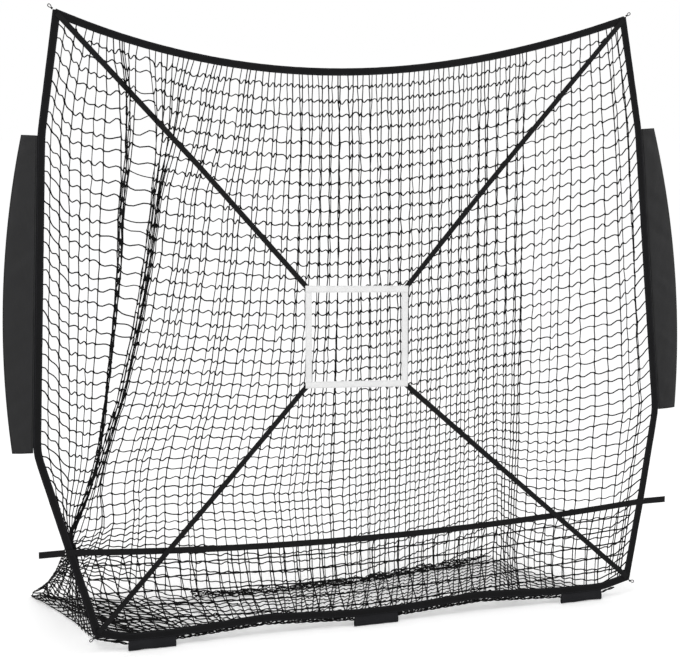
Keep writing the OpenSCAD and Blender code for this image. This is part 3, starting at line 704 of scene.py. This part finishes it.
# Share of the fold's distance back that a column keeps near it
foldDepth = [(0, 1), (0.047, 0.97), (0.0545, 0.9), (0.0605, 0.6), (0.1, 0.36), (0.15, 0.14), (0.22, 0)]


def toPlane(x, y):
    # where the column through a point meets the plane of the top binding
    return planes[0] + (x - planes[0]) * (net["head"] - planes[1]) / (y - planes[1])


def fromPlane(place, y):
    return planes[0] + (place - planes[0]) * (y - planes[1]) / (net["head"] - planes[1])


def depthAt(w, z):
    share = lookup(depthShare, z)
    corner = net["rightCorner"]
    if w <= corner:
        hung = net["head"] + (lookup(landing, w)[1] - net["head"]) * share
        low = net["footDepth"]
        return mix(hung, lookup(foldLeft, max(z, low))[1], lookup(foldDepth, w) * min(1.0, max(0.0, z / low)))
    rim = sideBack(max(z, net["rimFoot"])) + net["behind"]
    return mix(net["head"] + (net["cornerDepth"] - net["head"]) * share, rim, (w - corner) / (1 - corner))


def placeAt(w, z):
    # the column's place in the plane of the top binding
    strap = net["strapHeight"]
    head = mix(net["leftFold"], net["rightHead"], w)
    land = toPlane(*lookup(landing, w))
    if w < 0.46:
        level = max(z, strap)
        high, low = lookup(drift, w)
        share = mix(high, low, lookup(fanOpen, level))
        pulled = lookup(foldSecond, level) - mix(net["leftFold"], net["rightHead"], net["secondFold"])
        place = head + pulled * share + (1 - share) * lookup(depthShare, level) * (land - head) * min(1.0, w / 0.3)
        return place if z > strap else mix(place, land, (strap - z) / (strap - net["ground"]))
    return head + lookup(depthShare, z) * (land - head)


def bagPoint(w, z):
    # w is -1 at the left binding, 0 at the left fold and 1 at the right binding
    fold = lookup(foldLeft, z)
    if w < 0:
        rim = (-sideHalf(z), sideBack(z) + net["behind"])
        crease = lookup(creaseLeft, z)
        outer, inner = net["sideSplit"]
        a, b, t = (rim, crease, (w + 1) / outer) if w < -inner else (crease, fold, (w + inner) / inner)
        return Vector((mix(a[0], b[0], t), mix(a[1], b[1], t), z))
    y = depthAt(w, z)
    x = fromPlane(placeAt(w, z), y)
    if w < net["secondFold"]:
        near = w / net["secondFold"]
        return Vector((mix(fold[0], x, near), mix(fold[1], y, near), z))
    if w > net["rimFrom"]:
        share = ((w - net["rimFrom"]) / net["rimShare"]) ** 1.6
        x += (sideHalf(max(z, net["rimFoot"])) - fromPlane(placeAt(1, z), depthAt(1, z))) * share
    return Vector((x, y, z))


def gathered(w, z):
    return mix(w, lookup(gathers, w), lookup(gatherShare, z)) if -0.2 <= w < 0.34 else w


def columnLine(w):
    # one column of the net, from the top binding down the back to the ground, and forward to the hem
    head = topZ(bagPoint(w, 2000).x) - 4
    if w < 0:
        line = [bagPoint(gathered(w, z), z) for z in (mix(head, net["wingHead"], i / 30) for i in range(31))]
        line.append(Vector(net["wingRoot"]))
        return line, walk(line)[-1]
    if w > net["edgeFrom"]:
        line = [bagPoint(w, mix(head, net["edgeFoot"], i / 36)) for i in range(37)]
        return line, walk(line)[-1]
    if w < net["foldTo"] and w not in net["toRear"]:
        line = [bagPoint(gathered(w, z), z) for z in (mix(head, net["foldFoot"], i / 34) for i in range(35))]
        return line, walk(line)[-1]
    line = [bagPoint(gathered(w, z), z) for z in (mix(head, net["ground"] + 1.5, i / 44) for i in range(45))]
    rear = line[-1]
    rearAt = walk(line)[-1]
    foot = hemPoint(mix(-net["hemHalf"], net["hemHalf"], w))
    for i in range(1, 17):
        q = i / 16
        p = mix(rear, foot, q)
        rise = max(0.0, 1 - p.y / net["hemRise"])
        rumple = net["rumple"] * abs(noise.noise(Vector((p.x / 90, p.y / 70, 2)))) * (1 - rise)
        p.x += 30 * math.sin(math.pi * q) * max(0.0, 1 - w / 0.2) ** 2
        p.z = mix(net["ground"] + 1.5 + rumple, foot.z - 18, rise)
        p.y = mix(p.y, foot.y + net["behind"], rise ** 3)
        line.append(p)
    return line, rearAt


def regionOf(w, s, z, rearAt):
    if w < 0:
        return "leftSide"
    if s > rearAt + 25:
        return "floor"
    if w >= net["rightCorner"] and z < net["strapLevel"]:
        return "rightLower"
    return "rightSide" if w >= net["rightFold"] else "back"


def knotsOf(line, lift, depth, stagger=3.5, w=0.0, rearAt=None):
    # knots every mesh length down a column, with the fold's depth and a little unevenness
    lengths = walk(line)
    table = [(s, *p) for s, p in zip(lengths, line)]
    knots = {}
    j, s = 0, -lift
    while True:
        here = Vector(lookup(table, max(s, 0)))
        s += net["mesh"] * (lookup(knotSpacing, here.z) if rearAt and s < rearAt else 1.0)
        j += 1
        if s > lengths[-1]:
            return knots
        if s > 0:
            p = Vector(lookup(table, s))
            q = Vector(lookup(table, s + 5))
            run = (q - p).normalized() if (q - p).length > 0.1 else Vector((0, 0, -1))
            outward = Vector((0, -run.z, run.y))
            ease = min(1.0, s / 260) * min(1.0, (lengths[-1] - s) / 120) * (0.4 if rearAt and s > rearAt else 1.0)
            p += outward * depth * ease * lookup(foldShare, p.z) * (0.8 + 0.4 * chance.random())
            p += run * chance.uniform(-1, 1) * stagger + Vector((chance.uniform(-1.5, 1.5), 0, 0))
            p.z = max(p.z, net["ground"])
            knots[j] = (p, s, regionOf(w, s, p.z, rearAt or 1e9))


# The columns of the left side, of the two gathered folds and beside the right binding: share across, lift, depth
sideColumns = [(-1.0, 80, 0), (-0.86, 55, 0), (-0.72, 26, 0), (-0.585, 0, 0), (-0.47, 0, 0), (-0.355, 0, 0),
               (-0.24, 0, 0)]
foldColumns = [(-0.14, 0, 8), (-0.05, 0, -20), (0.0, 0, 24), (0.012, 0, -16), (0.024, 0, 22), (0.036, 0, -10),
               (0.048, 0, -20), (0.06, 0, 18), (0.072, 0, -12), (0.084, 0, 22)]
edgeColumns = [(0.974, 8, 20), (0.981, 20, -22), (0.986, 26, 10), (1.0, 55, 0)]
# The columns that fan out of the second fold, and those of the face: crowded and doubled, or flatter at the right
fan = {"count": 5, "start": 0.096, "step": 0.011, "depth": 12}
faceColumns = {"start": 0.15, "end": 0.945, "gaps": (20, 17, 24, 10, 28), "oftenness": (50, 17, 17, 9, 7),
               "flatGap": (33, 41), "flatShare": 0.4}


def spread():
    # share across, lift and depth of every column, from the left binding to the right
    places = sideColumns + foldColumns
    for n in range(fan["count"]):
        places.append((fan["start"] + fan["step"] * n, 0, fan["depth"] if n % 2 else -fan["depth"]))
    at, n = faceColumns["start"], 0
    while at < faceColumns["end"]:
        flat = at > net["flatFrom"]
        if flat:
            gap = chance.uniform(*faceColumns["flatGap"])
        else:
            gap = chance.choices(faceColumns["gaps"], faceColumns["oftenness"])[0]
        at += gap / net["faceWidth"]
        n += 1
        depth = (1 if n % 2 else -1) * net["zigzag"] * chance.uniform(0.6, 1.15)
        places.append((at, 0, depth * (faceColumns["flatShare"] if flat else 1.0)))
    return places + edgeColumns


columns = []
for number, (w, lift, depth) in enumerate(spread()):
    line, rearAt = columnLine(w)
    stagger = net["bundleStagger" if net["bundled"][0] < w < net["bundled"][1] else "stagger"]
    columns.append({"number": number, "knots": knotsOf(line, lift, depth, stagger, w, rearAt),
                    "head": line[0], "foot": line[-1]})
print("netting columns hung:", len(columns))

# Points along the twine between two knots, and how much of its wave it keeps at each height
longSpan, shortSpan = (0.13, 0.31, 0.5, 0.69, 0.87), (0.25, 0.5, 0.75)
waveShare = [(0, 0.45), (350, 0.6), (700, 0.8), (1100, 1.0)]


def rowSpan(a, b, wave):
    # the twine between two knots dips after the first and humps before the second, and not all alike
    span = b - a
    amount = min(1.0, 0.45 + span.length / 40) * lookup(waveShare, a.z)
    kind = chance.random()
    if kind < 0.72:
        s, arch = chance.uniform(0.6, 1.15) * wave, chance.uniform(-0.3, 0.35) * wave
    else:
        s, arch = chance.uniform(0, 0.4) * wave, chance.choice((-1, 1)) * chance.uniform(0.5, 1.1) * wave
    points = []
    for f in longSpan if span.length > 16 else shortSpan:
        drop = s * math.sin(2 * math.pi * f) + arch * math.sin(math.pi * f)
        points.append((a + span * f + Vector((0, 0.3 * drop, -drop * amount)), 1.0))
    return points


def addRun(regions, region, run):
    if len(run) > 1:
        regions.setdefault(region, []).append(run)


def makeRows(columns, wave):
    regions = {}
    for j in range(max(max(c["knots"], default=0) for c in columns) + 1):
        run, current = [], None
        reached = [c["knots"][j] for c in columns if j in c["knots"]]
        for a, b in zip(reached, reached[1:]):
            if (b[0] - a[0]).length > net["breakAt"]:
                addRun(regions, current, run)
                run = []
                continue
            if a[2] != current or not run:
                addRun(regions, current, run)
                run, current = [(a[0], net["knot"])], a[2]
            run += rowSpan(a[0], b[0], wave)
            run.append((b[0], net["knot"]))
        addRun(regions, current, run)
    return regions


def makeColumns(columns):
    regions = {}
    for column in columns:
        knots = sorted(column["knots"].items())
        if not knots:
            continue
        run, current = [(column["head"], 1.0)], knots[0][1][2]
        for j, (p, s, region) in knots + [(None, (column["foot"], 0, None))]:
            if run and region and region != current:
                addRun(regions, current, run)
                run, current = [run[-1]], region
            if current == "floor" and column.get("number", 0) % 3 == 1:
                run = []
                break
            a = run[-1][0]
            lean = Vector((chance.uniform(-1.4, 1.4), 0, 0))
            for f in (0.14, 0.5, 0.86):
                run.append((mix(a, p, f) + lean * math.sin(2 * math.pi * f), 1.0))
            run.append((p, net["knot"] if j is not None else 1.0))
        addRun(regions, current, run)
    return regions


def layNet(label, node, rows, uprights, thicker=1.0):
    batches = [("Columns", uprights, net["column"])]
    if sum(len(run) for run in rows) > net["pieceLimit"]:
        half = len(rows) // 2
        batches += [("UpperRows", rows[:half], net["row"]), ("LowerRows", rows[half:], net["row"])]
    else:
        batches += [("Rows", rows, net["row"])]
    for part, runs, radius in batches:
        if runs:
            tube(label + part, [[p for p, _ in run] for run in runs], radius * thicker, 4, nettingTwine, node, "net",
                 [[r for _, r in run] for run in runs])


rows, uprights = makeRows(columns, net["wave"]), makeColumns(columns)
# Loose turns of twine where the net is crumpled along its rear line, and the selvedge under the hem
crumple = {"lays": 7, "points": 330, "from": 0.2, "to": 0.73, "filled": 0.22, "end": 0.66, "endStep": 0.012,
           "apart": 12, "lift": 3, "height": 30}
selvedge = {"lays": 2, "points": 260, "half": 955, "drop": 22.5}
for lay in range(crumple["lays"]):
    run = []
    for i in range(crumple["points"]):
        w = mix(crumple["from"], crumple["to"], i / (crumple["points"] - 1))
        x, y = lookup(landing, w)
        heap = max(0.0, noise.noise(Vector((i / 16, lay * 3, 4))) + crumple["filled"])
        if heap == 0 or w > crumple["end"] + crumple["endStep"] * lay:
            addRun(rows, "floor", run)
            run = []
            continue
        across = 10 * noise.noise(Vector((i / 2.5, lay, 1)))
        back = 34 * noise.noise(Vector((i / 6, lay, 5)))
        up = crumple["height"] * heap * abs(noise.noise(Vector((i / 3.5, lay, 9))))
        run.append((Vector((x + across, y - 25 + crumple["apart"] * lay + back,
                            net["ground"] + crumple["lift"] + 8 * heap + up)), 1.0))
    addRun(rows, "floor", run)
for lay in range(selvedge["lays"]):
    run = []
    for i in range(selvedge["points"]):
        foot = hemPoint(mix(-selvedge["half"], selvedge["half"], i / (selvedge["points"] - 1)))
        down = -selvedge["drop"] - 2.6 * math.sin(i * 0.9 + 2.4 * lay) - 1.5 * lay
        run.append((foot + Vector((0, 4 + 3 * lay, down)), 1.0))
    addRun(rows, "floor", run)
for label, node, region in (("leftSideNetting", "left_side_netting", "leftSide"),
                            ("backNetting", "back_netting", "back"),
                            ("rightSideNetting", "right_side_netting", "rightSide"),
                            ("floorNetting", "floor_netting", "floor"),
                            ("rightLowerSideNetting", "right_lower_side_netting", "rightLower")):
    layNet(label, node, rows.get(region, []), uprights.get(region, []))
print("back and floor netting knotted")


# Lower left: the net fans out from the cross strap to the pulled-out corner and the binding
wing = {"fans": 15, "thicker": 0.88, "root": (-1066, 54, 352), "wave": 5.0,
        "rim": [(-1047, 811, -13), (-1038, 773, -13), (-1015, 686, -13), (-994, 595, -13), (-986, 501, -13),
                (-982, 430, -13), (-985, 300, -12), (-990, 170, 0), (-1004, 20, 40)]}
edge = resample([Vector(p) for p in wing["rim"]], 6)
fans = []
for n in range(wing["fans"] + 1):
    foot = edge[round(n / wing["fans"] * (len(edge) - 1))]
    start = Vector(wing["root"]) + Vector((6 * math.sin(n * 1.7), 6 * math.sin(n * 2.3), 4 * math.cos(n)))
    sag = 40 * (1 - n / wing["fans"]) + 6
    line = [mix(start, foot, i / 12) - Vector((0, 0, sag * 4 * (i / 12) * (1 - i / 12))) for i in range(13)]
    for p in line:
        p.z = max(p.z, net["ground"])
    fans.append({"knots": knotsOf(line, 6 * math.sin(n * 2.1), (9 if n % 2 else -9)),
                 "head": line[0], "foot": line[-1]})
layNet("leftLowerSideNetting", "left_lower_side_netting", makeRows(fans, wing["wave"])["back"],
       makeColumns(fans)["back"], wing["thicker"])

# Lower front: an open panel between the cross strap and the hem, of clean square cells
frontColumns = []
frontNet = {"count": 43, "slack": 42, "wave": 2.6, "thicker": 1.12, "crossHalf": 1046, "hemHalf": 976}
for n in range(frontNet["count"] + 1):
    u = n / frontNet["count"]
    head = crossPoint(mix(-1, 1, u) * frontNet["crossHalf"]) + Vector((0, 3, 0))
    foot = hemPoint(mix(-1, 1, u) * frontNet["hemHalf"]) + Vector((0, net["behind"], 4))
    slack = frontNet["slack"] * (1 - abs(2 * u - 1) ** 6)
    line = [mix(head, foot, i / 10) + Vector((0, slack * 4 * (i / 10) * (1 - i / 10), 0)) for i in range(11)]
    frontColumns.append({"knots": knotsOf(line, 0, (3 if n % 2 else -3), 2.0), "head": head, "foot": foot})
layNet("lowerFrontNetting", "lower_front_netting", makeRows(frontColumns, frontNet["wave"])["back"],
       makeColumns(frontColumns)["back"], frontNet["thicker"])
print("lower netting knotted")


# Corner loops

loops = {"cord": 1.5, "knot": 2.6, "length": 24}
for side, up, angle, node in ((-1, 1, 45, "upper_left_loop"), (1, 1, 35, "upper_right_loop"),
                              (-1, -1, -35, "lower_left_loop"), (1, -1, -15, "lower_right_loop")):
    low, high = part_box(node)
    low, high = Vector(low) / mm, Vector(high) / mm
    turn = math.radians(angle)
    ax = Vector((side * math.cos(turn), 0, math.sin(turn)))
    ay = Vector((0, 1, 0))
    az = ax.cross(ay)
    middle = (low + high) / 2
    # the knot's centre lies half the piece's length in from its own end
    root = middle - ax * (loops["length"] / 2)
    knot = []
    for i in range(48):
        t = 2 * math.pi * i / 48
        along = 4.5 + loops["knot"] * 0.55 * (math.cos(t) + 2 * math.cos(2 * t)) * 0.62
        over = loops["knot"] * 0.62 * (math.sin(t) - 2 * math.sin(2 * t)) * 0.62
        knot.append(root + ax * along + az * over + ay * (-1.6 * math.sin(3 * t)))
    ring = []
    for i in range(40):
        t = 2 * math.pi * i / 40
        over = 5.6 * math.sin(t) * (0.45 + 0.55 * (1 - math.cos(t)) / 2)
        ring.append(root + ax * (7.5 + 7.2 * (1 - math.cos(t))) + az * over + ay * (0.8 * math.sin(t)))
    name = {"upper_left_loop": "upperLeftLoop", "upper_right_loop": "upperRightLoop",
            "lower_left_loop": "lowerLeftLoop", "lower_right_loop": "lowerRightLoop"}[node]
    tube(name, [knot, ring], loops["cord"], 8, elasticBraid, node, "net", closed=True)
print("corner loops tied")
